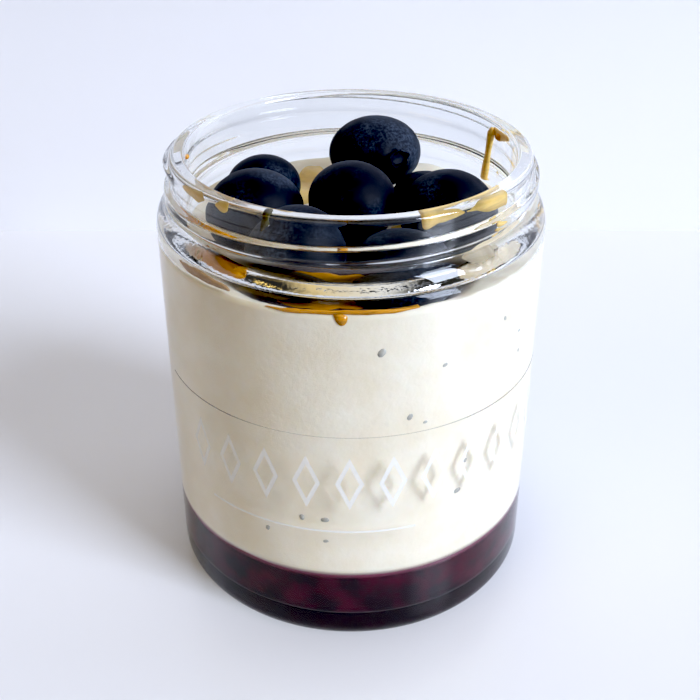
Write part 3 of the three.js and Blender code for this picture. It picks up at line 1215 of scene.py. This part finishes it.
def add_backdrop():
    """A floor and a wall close behind the jar, as one bent sheet that faces the jar."""
    stage = settings().stage
    bm = bmesh.new()
    wall_y = stage.wall_distance
    section = ((-STAGE_REACH, -FLOOR_DROP), (wall_y, -FLOOR_DROP), (wall_y, WALL_HEIGHT))
    verts = [bm.verts.new((-STAGE_REACH, y, z)) for y, z in section]
    edges = [bm.edges.new(pair) for pair in zip(verts, verts[1:])]
    sides = bmesh.ops.extrude_edge_only(bm, edges=edges)["geom"]
    moved = [item for item in sides if isinstance(item, bmesh.types.BMVert)]
    bmesh.ops.translate(bm, verts=moved, vec=(2 * STAGE_REACH, 0, 0))
    bm.normal_update()
    if sum(face.normal.z for face in bm.faces) < 0:
        bmesh.ops.reverse_faces(bm, faces=bm.faces)
    for face in bm.faces:
        is_wall = abs(face.normal.y) > 0.5
        face.material_index = int(is_wall)
    floor = satin_material("Floor", stage.floor_colour, stage.far_floor_colour)
    wall = satin_material("Wall", stage.wall_colour, stage.far_floor_colour)
    mesh_object("backdrop", bm, floor, wall)


def add_room():
    """Light from all round: dim, with a bright ceiling in front, warm at the left and cool at the right."""
    stage = settings().stage
    world = bpy.data.worlds.new("Room")
    world.use_nodes = True
    tree = world.node_tree
    direction = add_node(tree, "ShaderNodeTexCoord").outputs["Generated"]
    rightness = add_node(tree, "ShaderNodeSeparateXYZ", {0: direction}).outputs["X"]
    ways = {0: direction, 1: CEILING_WAY}
    facing = add_node(tree, "ShaderNodeVectorMath", ways, operation="DOT_PRODUCT").outputs["Value"]
    rightward = share_between(tree, rightness, -0.3, 0.3)
    ceiling = blend_colours(tree, rightward, stage.ceiling_left, stage.ceiling_right)
    near_ceiling = share_between(tree, facing, *CEILING_EDGE)
    light = blend_colours(tree, near_ceiling, stage.room_tone, ceiling)
    plug(tree, tree.nodes["Background"].inputs["Color"], light)
    bpy.context.scene.world = world


class PUDDING_OT_stage(bpy.types.Operator):
    """Sets up the camera, the floor and wall, and the light"""

    bl_idname = "pudding.stage"
    bl_label = "Stage"

    def execute(self, context):
        stage = settings().stage
        add_camera()
        add_backdrop()
        cool, warm = (0.75, 0.83, 1), (1, 0.68, 0.2)
        add_area_light("window", 56, 29, (1.4, 2.3), stage.window_power, cool)
        add_area_light("lamp", -55, 32, (2.1, 1.5), stage.lamp_power, warm)
        add_room()
        view = context.scene.view_settings
        view.view_transform = "Standard"
        view.use_curve_mapping = True
        view.curve_mapping.black_level = (stage.black_level,) * 3
        view.curve_mapping.update()
        context.scene.cycles.use_denoising = True
        return {"FINISHED"}


# -------- add-on


class PUDDING_PT_panel(bpy.types.Panel):
    """Lists the settings, and the operators that build the jar and its stage"""

    bl_idname = "PUDDING_PT_panel"
    bl_label = "Pudding jar"
    bl_space_type = "VIEW_3D"
    bl_region_type = "UI"
    bl_category = "Pudding jar"

    def draw(self, context):
        jar_settings = context.scene.pudding_jar
        for group in (jar_settings.jar, jar_settings.food, jar_settings.stage):
            box = self.layout.box()
            for name in group.__annotations__:
                box.prop(group, name)
        for operator in OPERATORS:
            self.layout.operator(operator.bl_idname)


OPERATORS = (
    PUDDING_OT_stage,
    PUDDING_OT_glass_jar,
    PUDDING_OT_fruit_puree,
    PUDDING_OT_pudding,
    PUDDING_OT_chia_seeds,
    PUDDING_OT_berries,
    PUDDING_OT_nut_butter,
    PUDDING_OT_print,
)
CLASSES = (JarSettings, FoodSettings, StageSettings, PuddingJarSettings, *OPERATORS, PUDDING_PT_panel)


def register():
    for cls in CLASSES:
        bpy.utils.register_class(cls)
    bpy.types.Scene.pudding_jar = bpy.props.PointerProperty(type=PuddingJarSettings)


def unregister():
    del bpy.types.Scene.pudding_jar
    for cls in reversed(CLASSES):
        bpy.utils.unregister_class(cls)


def main():
    register()
    bpy.ops.pudding.stage()
    bpy.ops.pudding.glass_jar()
    bpy.ops.pudding.fruit_puree()
    bpy.ops.pudding.pudding()
    bpy.ops.pudding.chia_seeds()
    bpy.ops.pudding.berries()
    bpy.ops.pudding.nut_butter()
    bpy.ops.pudding.print()


if __name__ == "__main__":
    main()
